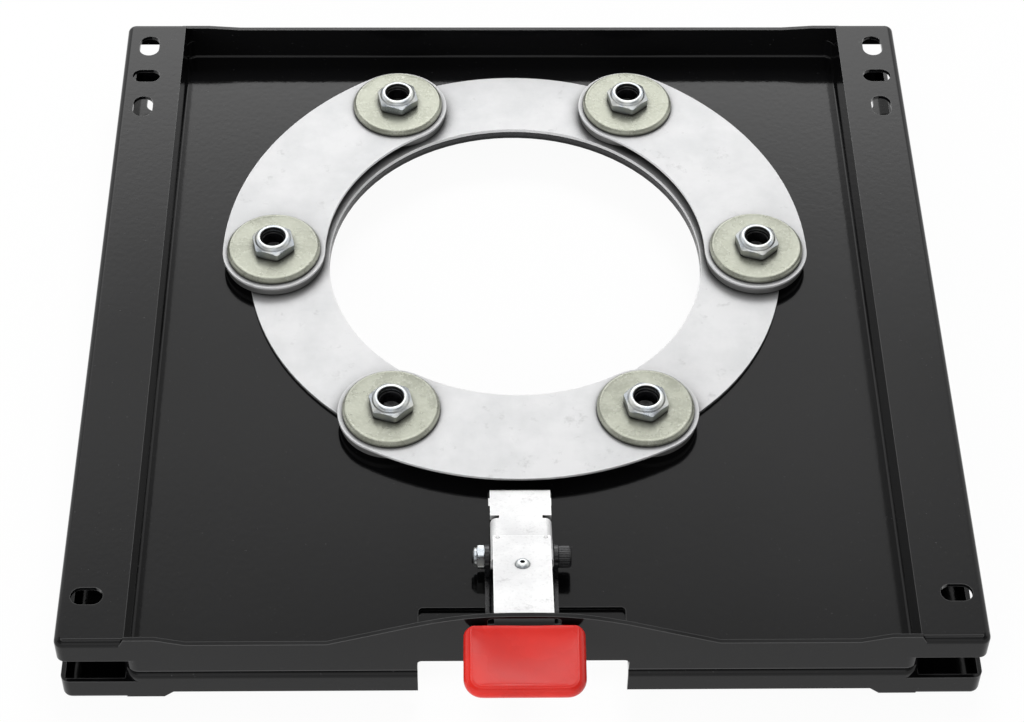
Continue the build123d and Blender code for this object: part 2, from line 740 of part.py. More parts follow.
with BuildPart() as release_lever:
    with BuildSketch(Plane.YZ):
        with BuildLine():
            lever_line = FilletPolyline(
                (lever_tail.Y, lever_tail.Z),
                (lever_end_y, lever_end_z),
                (lever_end_y - paddle_length * droop_cos, lever_end_z - paddle_length * droop_sin),
                radius=lever_bend_r + lever_sheet / 2,
            )
            offset(lever_line, amount=lever_sheet, side=Side.LEFT)
        make_face()
    extrude(amount=lever_width / 2, both=True)
    with BuildSketch(paddle_plane):
        with Locations((0, -(paddle_start + paddle_length) / 2)):
            RectangleRounded(paddle_width, paddle_length - paddle_start, grip_back_corner)
    extrude(amount=-lever_sheet)
    with BuildSketch(lever_end_plane(-lever_back)):
        add(ear_channel)
    extrude(amount=lever_back + lever_ear_front)
    for side in (-1, 1):
        ear_plane = lever_side_plane(side * (ear_outside - lever_sheet / 2))
        with BuildSketch(ear_plane):
            Circle(ear_r)
            Polygon(
                (-ear_r, 0),
                (-lever_back, lever_top - ear_depth + lever_sheet / 2),
                (lever_ear_front, lever_top - ear_depth),
                (ear_r, 0),
                align=None,
            )
        extrude(amount=lever_sheet / 2, both=True)
    with BuildSketch(lever_side_plane(latch_width)):
        Circle(pivot_d / 2 + pivot_running_gap)
    extrude(amount=2 * latch_width, mode=Mode.SUBTRACT)
    with BuildSketch(lever_flat_plane(lever_top)):
        for side in (-1, 1):
            with Locations((side * (lever_width / 2 - relief_inset), lever_back)):
                Circle(relief_r)
        with Locations((0, -rivet_ahead)):
            Circle(rivet_d / 2)
    extrude(amount=-lever_sheet, mode=Mode.SUBTRACT)
write(release_lever.part, "release_lever")

# Hollow rivet that holds the lever to the latch plate
with BuildPart() as pop_rivet:
    with BuildSketch(lever_side_plane()):
        with BuildLine():
            stem = Polyline(
                (rivet_ahead + rivet_bore_d / 2, plate_top - plate_sheet - rivet_tail),
                (rivet_ahead + rivet_tail_d / 2, plate_top - plate_sheet - rivet_tail),
                (rivet_ahead + rivet_tail_d / 2, plate_top - plate_sheet),
                (rivet_ahead + rivet_d / 2, plate_top - plate_sheet),
                (rivet_ahead + rivet_d / 2, lever_top),
                (rivet_ahead + rivet_head_d / 2, lever_top),
            )
            head_top = (rivet_ahead + rivet_bore_d / 2, lever_top + rivet_head)
            rivet_dome = SagittaArc(stem @ 1, head_top, -rivet_head_bulge)
            Line(rivet_dome @ 1, stem @ 0)
        make_face()
    revolve(axis=rivet_axis)
write(pop_rivet.part, "pop_rivet")

# Return spring between the bracket and the web, round the rivet's tail
spring_r = (spring_d - spring_wire) / 2
spring_y = rivet_foot.Y + (plate_top - plate_sheet) * tilt_sin
spring_seat_ahead = lever_ahead(spring_y + spring_d / 2, plate_top - plate_sheet)
spring_top_z = pivot_height + spring_seat_ahead * tilt_sin + (plate_top - plate_sheet) * tilt_cos
spring_low_z = bracket_top_z + spring_wire / 2
spring_high_z = spring_top_z - spring_wire / 2

with BuildPart() as return_spring:
    with BuildLine():
        coil = Helix(
            pitch=(spring_high_z - spring_low_z) / spring_turns,
            height=spring_high_z - spring_low_z,
            radius=spring_r,
            center=(0, spring_y, spring_low_z),
        )
    with BuildSketch(Plane(origin=coil @ 0, x_dir=(1, 0, 0), z_dir=coil % 0)):
        Rectangle(spring_wire, spring_wire)
    sweep(path=coil, is_frenet=True)
write(return_spring.part, "return_spring")

# Dipped handle, moulded round the wide end of the lever
grip_plane = paddle_plane.offset(-lever_sheet / 2 - grip_thick / 2)

with BuildPart() as handle_grip:
    with BuildSketch(grip_plane) as grip_outline:
        with Locations((0, -grip_start)):
            Rectangle(grip_width, grip_length, align=(Align.CENTER, Align.MAX))
        fillet(grip_outline.vertices().group_by(Axis.Y)[-1], grip_back_corner)
        fillet(grip_outline.vertices().group_by(Axis.Y)[0], grip_front_corner)
    extrude(amount=grip_thick)
    flat_faces = handle_grip.faces().sort_by(Axis(paddle_plane.origin, paddle_plane.z_dir))
    fillet(flat_faces[0].edges() + flat_faces[-1].edges(), grip_edge)
    add(release_lever.part, mode=Mode.SUBTRACT)
write(handle_grip.part, "handle_grip")
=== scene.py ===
import json
import math

import bmesh
import bpy
from mathutils import Matrix, Vector


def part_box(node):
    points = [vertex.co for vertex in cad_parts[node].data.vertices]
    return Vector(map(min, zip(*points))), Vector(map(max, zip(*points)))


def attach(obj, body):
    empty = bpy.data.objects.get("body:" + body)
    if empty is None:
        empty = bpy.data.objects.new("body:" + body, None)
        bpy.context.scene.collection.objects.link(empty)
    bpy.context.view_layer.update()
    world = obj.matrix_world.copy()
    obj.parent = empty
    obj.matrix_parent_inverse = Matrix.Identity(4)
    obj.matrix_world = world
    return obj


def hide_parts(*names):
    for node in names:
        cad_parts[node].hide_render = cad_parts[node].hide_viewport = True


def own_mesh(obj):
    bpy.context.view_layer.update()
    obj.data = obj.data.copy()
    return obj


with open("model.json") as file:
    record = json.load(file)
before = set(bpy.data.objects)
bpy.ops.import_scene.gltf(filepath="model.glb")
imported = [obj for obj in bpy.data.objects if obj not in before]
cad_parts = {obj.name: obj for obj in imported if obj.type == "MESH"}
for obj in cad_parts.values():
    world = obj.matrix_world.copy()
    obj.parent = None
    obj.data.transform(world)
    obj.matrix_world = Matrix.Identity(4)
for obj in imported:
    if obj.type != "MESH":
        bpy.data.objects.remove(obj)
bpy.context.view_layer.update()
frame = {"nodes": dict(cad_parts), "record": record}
nodes = frame["nodes"]
mm = 0.001

# Two relief holes at the lever's rear corners, and the line past which the lever's neck gets
# painted shade towards the handle
relief_hole_x, relief_hole_y, relief_hole_z = 10.6 * mm, -131.6 * mm, 39.3 * mm
relief_hole_r = 0.85 * mm
shade_line_y = -185.8 * mm

# Camera, solved from the photograph
pitch, yaw, roll = (math.radians(a) for a in (48.927, 1.557, 1.0245))
camera_place = Vector((-24.5, -825.71, 954.12)) * mm
focal_length, sensor_width = 91.56, 36.0

level_share = math.cos(pitch)
forward = Vector((math.sin(yaw) * level_share, math.cos(yaw) * level_share, -math.sin(pitch)))
level_right = forward.cross(Vector((0, 0, 1))).normalized()
level_up = level_right.cross(forward)
right = level_right * math.cos(roll) + level_up * math.sin(roll)
up = level_up * math.cos(roll) - level_right * math.sin(roll)
turn = Matrix((right, up, -forward)).transposed().to_4x4()

camera_data = bpy.data.cameras.new("camera")
camera_data.lens = focal_length
camera_data.sensor_width = sensor_width
camera = bpy.data.objects.new("camera", camera_data)
camera.matrix_world = Matrix.Translation(camera_place) @ turn
bpy.context.scene.collection.objects.link(camera)
bpy.context.scene.camera = camera
bpy.context.scene.view_settings.view_transform = "Standard"


class Graph:
    """Short calls for building a material or world out of nodes."""

    def __init__(self, tree):
        self.tree = tree
        tree.nodes.clear()

    def node(self, kind, **values):
        """One node; inputs are set from values by name, or linked when the value is a socket."""
        made = self.tree.nodes.new(kind)
        sockets = {s.name.lower().replace(" ", "_"): s for s in made.inputs if s.enabled}
        for name, value in values.items():
            if name in sockets:
                self.feed(sockets[name], value)
            else:
                setattr(made, name, value)
        return made

    def feed(self, socket, value):
        if isinstance(value, bpy.types.NodeSocket):
            self.tree.links.new(value, socket)
        else:
            socket.default_value = value

    def noise(self, where, scale, detail=3.0, roughness=0.5):
        made = self.node("ShaderNodeTexNoise", scale=scale, detail=detail, roughness=roughness)
        self.feed(made.inputs["Vector"], where)
        return made.outputs["Fac"]

    def ramp(self, value, *stops):
        """Value mapped through (position, grey or colour) stops."""
        made = self.node("ShaderNodeValToRGB")
        self.feed(made.inputs["Fac"], value)
        elements = made.color_ramp.elements
        while len(elements) < len(stops):
            elements.new(1.0)
        for element, (position, shade) in zip(elements, stops):
            element.position = position
            element.color = (shade, shade, shade, 1) if isinstance(shade, float) else (*shade, 1)
        return made.outputs["Color"]

    def mix(self, factor, a, b):
        """Colour a changed to b by the factor; both are (r, g, b) or sockets."""
        made = self.node("ShaderNodeMix", data_type="RGBA")
        factor_in, a_in, b_in, colour_out = 0, 6, 7, 2
        self.feed(made.inputs[factor_in], factor)
        self.feed(made.inputs[a_in], a if isinstance(a, bpy.types.NodeSocket) else (*a, 1))
        self.feed(made.inputs[b_in], b if isinstance(b, bpy.types.NodeSocket) else (*b, 1))
        return made.outputs[colour_out]

    def multiply(self, a, b):
        """Product of two colours."""
        made = self.node("ShaderNodeMixRGB", blend_type="MULTIPLY")
        for socket, value in zip(made.inputs, (1.0, a, b)):
            self.feed(socket, value)
        return made.outputs[0]

    def math(self, operation, *values):
        made = self.node("ShaderNodeMath", operation=operation)
        for socket, value in zip(made.inputs, values):
            self.feed(socket, value)
        return made.outputs[0]


def material(name, paint):
    """A material whose shader is set up by paint(graph, position)."""
    made = bpy.data.materials.new(name)
    made.use_nodes = True
    graph = Graph(made.node_tree)
    place = graph.node("ShaderNodeTexCoord").outputs["Object"]
    shader = paint(graph, place)
    output = graph.node("ShaderNodeOutputMaterial")
    graph.feed(output.inputs["Surface"], shader.outputs[0])
    return made


def bump(graph, height, strength, distance):
    made = graph.node("ShaderNodeBump", strength=strength, distance=distance, height=height)
    return made.outputs[0]


def shaded_in_gaps(graph, tone, reach, painted_shade=0.04):
    """The tone, darkened in gaps and corners narrower than the reach: painted shade."""
    hidden = graph.node("ShaderNodeAmbientOcclusion", samples=8, distance=reach)
    return graph.multiply(tone, graph.ramp(hidden.outputs["AO"], (0.45, painted_shade), (0.92, 1.0)))


def edge_highlighted(graph, tone, width, light):
    """The tone, lightened along sharp outer edges: a painted highlight."""
    edge = graph.node("ShaderNodeAmbientOcclusion", samples=8, distance=width, inside=True)
    wear_and_edge_highlight = graph.ramp(edge.outputs["AO"], (0.55, 1.0), (0.85, 0.0))
    return graph.mix(wear_and_edge_highlight, tone, light)


# Finishes, laid in object space in metres: a noise scale of 100 has features about 10 mm wide
def black_paint(graph, place):
    """Glossy black paint with a faint orange peel, a few dull patches, dust specks and a painted
    highlight along its sharp edges.
    """
    cloud = graph.noise(place, 9.0, 4.0)
    specks = graph.ramp(graph.noise(place, 900.0, 1.0), (0.76, 0.0), (0.8, 1.0))
    patches = graph.ramp(cloud, (0.3, 0.0), (0.7, 1.0))
    tone = graph.mix(patches, (0.003, 0.003, 0.0033), (0.005, 0.005, 0.0053))
    tone = graph.mix(graph.math("MULTIPLY", specks, 0.12), tone, (0.3, 0.3, 0.3))
    # Painted highlight: lighter grey along the sharp edges
    tone = edge_highlighted(graph, tone, 0.5 * mm, (0.075, 0.075, 0.075))
    peel = graph.noise(place, 420.0, 2.0)
    return graph.node(
        "ShaderNodeBsdfPrincipled",
        base_color=tone,
        roughness=graph.ramp(cloud, (0.25, 0.06), (0.75, 0.13)),
        specular_ior_level=0.21,
        normal=bump(graph, peel, 0.05, 0.4 * mm),
    )


def black_steel(graph, place):
    """Satin black of the pivot and the clamp bolts, rubbed a little grey."""
    rub = graph.ramp(graph.noise(place, 260.0, 5.0), (0.45, 0.0), (0.7, 1.0))
    return graph.node(
        "ShaderNodeBsdfPrincipled",
        base_color=graph.mix(rub, (0.006, 0.006, 0.007), (0.018, 0.018, 0.02)),
        roughness=graph.ramp(rub, (0.0, 0.22), (1.0, 0.4)),
        specular_ior_level=0.4,
        normal=bump(graph, graph.noise(place, 1500.0, 2.0), 0.15, 0.2 * mm),
    )


def zinc_plate(
    graph, place, low=(0.54, 0.545, 0.55), high=(0.65, 0.65, 0.655), pits=0.0, painted_shade=0.0
):
    """Pale zinc plate with cloudy smudges, hairline rub marks, stains and, where asked, pits;
    with a painted highlight along its sharp edges, painted shade in its gaps and, where asked,
    more painted shade.
    """
    cloud = graph.noise(place, 34.0, 5.0, 0.6)
    stain = graph.ramp(graph.noise(place, 120.0, 6.0, 0.7), (0.6, 0.0), (0.72, 1.0))
    stretch = graph.node("ShaderNodeMapping", scale=(18.0, 1.2, 18.0))
    graph.feed(stretch.inputs["Vector"], place)
    hairline = graph.noise(stretch.outputs[0], 130.0, 3.0)
    tone = graph.mix(graph.ramp(cloud, (0.35, 0.0), (0.62, 1.0)), low, high)
    tone = graph.mix(graph.math("MULTIPLY", stain, 0.45), tone, (0.3, 0.3, 0.3))
    speck = graph.ramp(graph.noise(place, 700.0, 3.0, 0.6), (0.56, 0.0), (0.66, 1.0))
    tone = graph.mix(graph.math("MULTIPLY", speck, pits), tone, (0.28, 0.28, 0.28))
    # Painted highlight: lighter along the sharp outer edges
    tone = edge_highlighted(graph, tone, 0.7 * mm, (0.95, 0.95, 0.95))
    # Painted shade where the caller asks for it
    tone = graph.mix(painted_shade, tone, (0.01, 0.01, 0.01))
    # Painted shade: the base colour darkens in gaps and corners within 9 mm
    return graph.node(
        "ShaderNodeBsdfPrincipled",
        base_color=shaded_in_gaps(graph, tone, 9 * mm, 0.02),
        metallic=0.16,
        specular_ior_level=0.35,
        roughness=graph.ramp(cloud, (0.3, 0.38), (0.7, 0.5)),
        normal=bump(graph, hairline, 0.05, 0.3 * mm),
    )


def bright_plate(graph, place):
    """Brighter zinc of the lever and its latch plate, with painted shade in and round the relief
    holes and on the lever's neck by the handle.
    """
    split = graph.node("ShaderNodeSeparateXYZ")
    graph.feed(split.inputs[0], place)
    across = graph.math("SUBTRACT", graph.math("ABSOLUTE", split.outputs["X"]), relief_hole_x)
    along = graph.math("SUBTRACT", split.outputs["Y"], relief_hole_y)
    squares = (graph.math("POWER", across, 2.0), graph.math("POWER", along, 2.0))
    off_middle = graph.math("SQRT", graph.math("ADD", *squares))
    past_line = graph.math("SUBTRACT", shade_line_y, split.outputs["Y"])
    per_span = 1 / (2 * mm)  # a ramp covers 0 to 1, so distances count in spans of 2 mm
    # Painted shade in and round the relief holes
    hole_shade = graph.ramp(graph.math("MULTIPLY", off_middle, per_span), (0.42, 1.0), (0.48, 0.0))
    # Painted shade on the lever's neck, past the shade line towards the handle
    neck_shade = graph.ramp(graph.math("MULTIPLY", past_line, per_span), (0.1, 0.0), (0.4, 1.0))
    painted_shade = graph.math("MAXIMUM", hole_shade, neck_shade)
    return zinc_plate(graph, place, (0.66, 0.66, 0.665), (0.84, 0.84, 0.84), 0.16, painted_shade)


def aged_zinc(graph, place):
    """Greenish beige passivated zinc, blotched and a little rough, with a painted highlight along
    its edges and painted shade in its gaps.
    """
    cloud = graph.noise(place, 90.0, 6.0, 0.62)
    grain = graph.noise(place, 700.0, 4.0, 0.6)
    blotches = graph.ramp(cloud, (0.36, 0.0), (0.64, 1.0))
    tone = graph.mix(blotches, (0.235, 0.243, 0.197), (0.31, 0.319, 0.265))
    tone = graph.mix(graph.ramp(grain, (0.52, 0.0), (0.8, 0.5)), tone, (0.5, 0.51, 0.46))
    # Painted highlight: lighter along the sharp edges
    tone = edge_highlighted(graph, tone, 0.8 * mm, (0.72, 0.73, 0.68))
    # Painted shade: the base colour darkens in gaps and corners within 4 mm
    return graph.node(
        "ShaderNodeBsdfPrincipled",
        base_color=shaded_in_gaps(graph, tone, 4 * mm, 0.15),
        metallic=0.5,
        roughness=graph.ramp(cloud, (0.3, 0.2), (0.7, 0.36)),
        normal=bump(graph, grain, 0.25, 0.3 * mm),
    )


def dull_zinc(graph, place):
    """Zinc of the discs between the ring and the segments, in a darker grey that is painted shade
    for their place under the segments.
    """
    cloud = graph.noise(place, 120.0, 5.0, 0.6)
    return graph.node(
        "ShaderNodeBsdfPrincipled",
        base_color=graph.mix(cloud, (0.13, 0.13, 0.13), (0.21, 0.21, 0.205)),
        metallic=0.5,
        roughness=graph.ramp(cloud, (0.3, 0.35), (0.7, 0.5)),
        normal=bump(graph, graph.noise(place, 700.0, 3.0), 0.15, 0.2 * mm),
    )


def bright_zinc(graph, place):
    """Bright bluish zinc of the nuts, with a cast of yellow in places and painted shade in its
    gaps.
    """
    cloud = graph.noise(place, 160.0, 4.0)
    cast = graph.ramp(cloud, (0.4, 0.0), (0.62, 1.0))
    tone = graph.mix(cast, (0.42, 0.45, 0.48), (0.56, 0.57, 0.54))
    # Painted shade: the base colour darkens in gaps and corners within 3 mm
    return graph.node(
        "ShaderNodeBsdfPrincipled",
        base_color=shaded_in_gaps(graph, tone, 3 * mm, 0.1),
        metallic=0.9,
        roughness=graph.ramp(cloud, (0.3, 0.24), (0.7, 0.38)),
        normal=bump(graph, graph.noise(place, 900.0, 3.0), 0.12, 0.2 * mm),
    )


def black_nylon(graph, place):
    """Dull black nylon of the lock nuts' inserts."""
    grain = graph.noise(place, 1300.0, 3.0)
    return graph.node(
        "ShaderNodeBsdfPrincipled",
        base_color=graph.mix(grain, (0.004, 0.004, 0.004), (0.012, 0.012, 0.012)),
        roughness=graph.ramp(grain, (0.3, 0.3), (0.7, 0.45)),
        normal=bump(graph, grain, 0.2, 0.2 * mm),
    )


def spring_steel(graph, place):
    """Bare drawn wire."""
    grain = graph.noise(place, 900.0, 3.0)
    return graph.node(
        "ShaderNodeBsdfPrincipled",
        base_color=graph.mix(grain, (0.3, 0.3, 0.31), (0.5, 0.5, 0.5)),
        metallic=1.0,
        roughness=graph.ramp(grain, (0.3, 0.25), (0.7, 0.4)),
        normal=bump(graph, grain, 0.1, 0.2 * mm),
    )


def red_dip(graph, place):
    """Smooth dipped vinyl, deeper red where it is thick, with a soft sheen."""
    cloud = graph.noise(place, 40.0, 3.0)
    thin = graph.ramp(cloud, (0.35, 0.0), (0.65, 1.0))
    return graph.node(
        "ShaderNodeBsdfPrincipled",
        base_color=graph.mix(thin, (0.56, 0.013, 0.008), (0.68, 0.019, 0.011)),
        roughness=graph.ramp(cloud, (0.3, 0.24), (0.7, 0.32)),
        specular_ior_level=0.2,
        subsurface_weight=0.12,
        subsurface_radius=(1.0, 0.25, 0.1),
        subsurface_scale=3 * mm,
        coat_weight=0.35,
        coat_roughness=0.1,
        normal=bump(graph, graph.noise(place, 260.0, 2.0), 0.04, 0.4 * mm),
    )


finishes = (
    black_paint, black_steel, zinc_plate, bright_plate, aged_zinc,
    dull_zinc, bright_zinc, black_nylon, spring_steel, red_dip,
)
materials = {paint.__name__: material(paint.__name__, paint) for paint in finishes}

record = frame["record"]
slot_of = {entry["node"]: entry["material_slot"] for entry in record["subparts"]}
bodies = record["behaviour"]["bodies"]
body_of = {node: body for body, members in bodies.items() for node in members}

for node_name, node_object in nodes.items():
    node_object.data.materials.clear()
    node_object.data.materials.append(materials[slot_of[node_name]])


def stand_for(piece, node_name):
    """Dresses a new piece with the finish of the node that it replaces, and rides on its body."""
    slot_name = slot_of[node_name]
    piece.data.materials.clear()
    piece.data.materials.append(materials[slot_name])
    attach(piece, body_of[node_name])
    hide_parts(node_name)
    return piece


def new_piece(name, mesh):
    piece = bpy.data.objects.new(name, mesh)
    bpy.context.scene.collection.objects.link(piece)
    return piece


def shade_smooth(mesh):
    mesh.polygons.foreach_set("use_smooth", [True] * len(mesh.polygons))


def soften(piece, width):
    """Small rounded edges and smooth shading that keeps flat faces flat."""
    shade_smooth(piece.data)
    edge = piece.modifiers.new("edges", "BEVEL")
    edge.width = width
    edge.segments = 2
    edge.limit_method = "ANGLE"
    edge.angle_limit = math.radians(30)
    even = piece.modifiers.new("normals", "WEIGHTED_NORMAL")
    even.keep_sharp = True
    return piece


# Points closer than this are one point, and faces that meet at less than this angle are one face
merge_distance, flat_angle = 0.002 * mm, math.radians(0.6)
drill_length, drill_sides = 4 * mm, 16


def mesh_of(name, work):
    """New mesh with the shape that was worked on."""
    mesh = bpy.data.meshes.new(name)
    work.to_mesh(mesh)
    work.free()
    return mesh


def closed_mesh(name, work):
    """Smooth-shaded mesh of a closed form, with its normals facing out."""
    bmesh.ops.recalc_face_normals(work, faces=work.faces)
    mesh = mesh_of(name, work)
    shade_smooth(mesh)
    return mesh


def drill_through(piece, spots, radius):
    """Cuts upright round holes, centred on the spots, through the piece."""
    work = bmesh.new()
    for spot in spots:
        bmesh.ops.create_cone(
            work, cap_ends=True, segments=drill_sides, radius1=radius, radius2=radius,
            depth=drill_length, matrix=Matrix.Translation(spot),
        )
    drill = new_piece("drill", mesh_of("drill", work))
    cut = piece.modifiers.new("cut", "BOOLEAN")
    cut.operation, cut.solver, cut.object = "DIFFERENCE", "EXACT", drill
    holed = piece.evaluated_get(bpy.context.evaluated_depsgraph_get())
    mesh = bpy.data.meshes.new_from_object(holed)
    piece.modifiers.clear()
    piece.data = mesh
    bpy.data.objects.remove(drill)


def refined(node_name, width, reshape=None, holes=()):
    """A CAD node's own shape with its sheared edges rounded."""
    work = bmesh.new()
    work.from_mesh(nodes[node_name].data)
    bmesh.ops.remove_doubles(work, verts=work.verts, dist=merge_distance)
    bmesh.ops.dissolve_limit(
        work, angle_limit=flat_angle, verts=work.verts, edges=work.edges, delimit={"NORMAL"}
    )
    if reshape:
        for vertex in work.verts:
            vertex.co = reshape(vertex.co)
    name = node_name + "_finished"
    piece = new_piece(name, mesh_of(name, work))
    if holes:
        drill_through(piece, holes, relief_hole_r)
    soften(piece, width)
    return stand_for(piece, node_name)


def bridge(work, rows):
    """Faces between neighbouring rows; each row is a closed loop of points."""
    for low, high in zip(rows, rows[1:]):
        for step in range(len(low)):
            ahead = (step + 1) % len(low)
            work.faces.new((low[step], low[ahead], high[ahead], high[step]))


def turned(name, profile_at, place, sides=96):
    """A turned form: profile_at(angle) gives its closed (radius, height) outline."""
    work = bmesh.new()
    columns = []
    for step in range(sides):
        angle = math.tau * step / sides
        x, y = math.cos(angle), math.sin(angle)
        columns.append([
            work.verts.new(place @ Vector((r * x, r * y, z))) for r, z in profile_at(angle)
        ])
    for step in range(sides):
        here, ahead = columns[step], columns[(step + 1) % sides]
        for low in range(len(here)):
            high = (low + 1) % len(here)
            work.faces.new((here[low], ahead[low], ahead[high], here[high]))
    bmesh.ops.remove_doubles(work, verts=work.verts, dist=merge_distance)
    return new_piece(name, closed_mesh(name, work))


def past_flat(angle):
    """Angle past the middle of the nearest side of a hexagon."""
    return (angle + math.pi / 6) % (math.pi / 3) - math.pi / 6


def hex_wall(angle, flats, cut):
    """Radius of a hexagon with its corners cut off, and how far its chamfer has sloped there."""
    within = past_flat(angle)
    wall = min(flats / 2 / math.cos(within), flats / math.sqrt(3) - cut)
    return wall, (wall - flats / 2 + cut) * math.tan(math.radians(30))


def centre_and_size(node_name):
    """Middle and size of a node's box."""
    low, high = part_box(node_name)
    return (low + high) / 2, high - low


def standing(node_name):
    """Place of a turned piece that stands on the lowest point of its node."""
    middle, size = centre_and_size(node_name)
    return Matrix.Translation((middle.x, middle.y, middle.z - size.z / 2))


# Clamp washers with a worn sloped rim, and lock nuts with a domed collar round their insert
bolt_hole_r = 6.5 * mm
bolt_r = 6.0 * mm
bolt_head_height = 7.5 * mm
bolt_cut = 0.3 * mm
nut_flats = 19.0 * mm
nut_cut = 0.25 * mm
nut_turn = math.radians(13)
nut_hex_height = 4.9 * mm
nut_collar_r = 8.2 * mm
nut_lip_r = 6.3 * mm
nut_bore_r = 6.05 * mm
insert_r = 7.2 * mm
insert_height = 1.3 * mm
insert_sink = 0.5 * mm
rim_wear = 0.05 * mm
small_edge = 0.08 * mm
hex_sides = 120

bolt_numbers = range(1, 7)
for number in bolt_numbers:
    washer = f"clamp_washer_{number}"
    size = centre_and_size(washer)[1]
    outer, thick = size.x / 2, size.z

    def washer_outline(angle, outer=outer, thick=thick, number=number):
        waves = math.sin(3 * angle + number) + 0.6 * math.sin(7 * angle + 2 * number)
        wear_and_edge_highlight = rim_wear * waves
        return (
            (bolt_hole_r, 0),
            (outer - 0.5 * mm, 0),
            (outer - 0.1 * mm, 0.15 * mm),
            (outer, 0.6 * mm),
            (outer, thick - 1.5 * mm),
            (outer - 0.15 * mm, thick - 1.1 * mm + wear_and_edge_highlight),
            (outer - 0.5 * mm, thick - 0.85 * mm + wear_and_edge_highlight),
            (outer - 0.9 * mm, thick - 0.5 * mm + wear_and_edge_highlight),
            (outer - 1.2 * mm, thick - 0.12 * mm),
            (outer - 1.6 * mm, thick),
            (outer - 2.1 * mm, thick - 0.04 * mm),
            (outer - 2.8 * mm, thick - 0.16 * mm),
            (outer - 9 * mm, thick - 0.16 * mm),
            (nut_flats / 2 + 2 * mm, thick - 0.02 * mm),
            (bolt_hole_r, thick),
        )

    piece = turned(f"washer_{number}", washer_outline, standing(washer))
    stand_for(soften(piece, small_edge), washer)

    nut = f"lock_nut_{number}"
    nut_height = centre_and_size(nut)[1].z

    def nut_outline(angle, nut_height=nut_height):
        wall, slope = hex_wall(angle - nut_turn, nut_flats, nut_cut)
        return (
            (nut_bore_r, 0.4 * mm),
            (nut_bore_r + 0.45 * mm, 0),
            (nut_flats / 2 - nut_cut, 0),
            (wall, slope),
            (wall, nut_hex_height - slope),
            (nut_flats / 2 - nut_cut, nut_hex_height),
            (nut_collar_r + 0.9 * mm, nut_hex_height + 0.06 * mm),
            (nut_collar_r + 0.55 * mm, nut_hex_height + 0.3 * mm),
            (nut_collar_r + 0.4 * mm, nut_hex_height + 0.8 * mm),
            (nut_collar_r + 0.2 * mm, nut_height - 1.0 * mm),
            (nut_collar_r - 0.2 * mm, nut_height - 0.45 * mm),
            (nut_collar_r - 0.8 * mm, nut_height - 0.12 * mm),
            (nut_collar_r - 1.3 * mm, nut_height - 0.02 * mm),
            (nut_lip_r, nut_height - 0.1 * mm),
            (nut_lip_r, nut_height - insert_sink),
            (insert_r, nut_height - insert_sink),
            (insert_r, nut_height - insert_sink - insert_height),
            (nut_bore_r, nut_height - insert_sink - insert_height),
        )

    piece = turned(f"nut_{number}", nut_outline, standing(nut), hex_sides)
    stand_for(soften(piece, 0.1 * mm), nut)

# Sheet pieces keep their own shape, with their sheared edges rounded by these widths in mm
edge_widths = {
    "base_tray": 0.45,
    "spacer_ring": 0.25,
    "retaining_ring": 0.25,
    "clamp_segment_1": 0.3,
    "clamp_segment_2": 0.3,
    "clamp_segment_3": 0.3,
    "pivot_bracket": 0.3,
}
for node_name, width in edge_widths.items():
    refined(node_name, width * mm)

relief_holes = [(side * relief_hole_x, relief_hole_y, relief_hole_z) for side in (-1, 1)]
refined("release_lever", 0.25 * mm, holes=relief_holes)

# Seat tray: the part of its front flange above the arch's foot is lowered to this share
arch_foot_z, arch_share = 46.0 * mm, 0.82
arch_rear_y = -186.5 * mm
slot_half_width, slot_top_z = 16 * mm, 60 * mm


def lower_arch(place):
    """The arch line as the photograph shows it; the lever slot under it stays."""
    in_slot = abs(place.x) < slot_half_width and place.z < slot_top_z
    if place.y > arch_rear_y or place.z < arch_foot_z or in_slot:
        return place
    return Vector((place.x, place.y, arch_foot_z + (place.z - arch_foot_z) * arch_share))


refined("seat_tray", 0.45 * mm, lower_arch)

# Discs with an undercut top edge, and bolts with a hex head below and a centred tip above
disc_step = 1.8 * mm
for number in bolt_numbers:
    disc = f"spacer_disc_{number}"
    size = centre_and_size(disc)[1]

    def disc_outline(angle, outer=size.x / 2, thick=size.z):
        return (
            (bolt_hole_r, 0),
            (outer - 0.4 * mm, 0),
            (outer, 0.4 * mm),
            (outer, thick - 1.5 * mm),
            (outer - 0.3 * mm, thick - 1.1 * mm),
            (outer - disc_step, thick - 1.0 * mm),
            (outer - disc_step, thick),
            (bolt_hole_r, thick),
        )

    piece = turned(f"disc_{number}", disc_outline, standing(disc))
    stand_for(soften(piece, small_edge), disc)
    # The discs take the darker grey zinc: painted shade for their place under the segments
    piece.data.materials[0] = materials["dull_zinc"]

    bolt = f"clamp_bolt_{number}"
    size = centre_and_size(bolt)[1]

    def bolt_outline(angle, flats=size.y, top=size.z):
        wall, slope = hex_wall(angle, flats, bolt_cut)
        return (
            (0, 0),
            (flats / 2 - bolt_cut, 0),
            (wall, slope),
            (wall, bolt_head_height),
            (bolt_r, bolt_head_height),
            (bolt_r, top - 1.2 * mm),
            (bolt_r - 0.6 * mm, top - 0.6 * mm),
            (bolt_r - 0.9 * mm, top - 1.0 * mm),
            (bolt_r - 1.1 * mm, top - 7 * mm),
            (0, top - 8.5 * mm),
        )

    piece = turned(f"bolt_{number}", bolt_outline, standing(bolt), hex_sides)
    stand_for(soften(piece, small_edge), bolt)

# The lever and its latch plate are brighter than the ring, with painted shade in the relief holes
# and on the lever's neck by the handle
for piece_name in ("release_lever_finished", "latch_plate"):
    bpy.data.objects[piece_name].data.materials[0] = materials["bright_plate"]

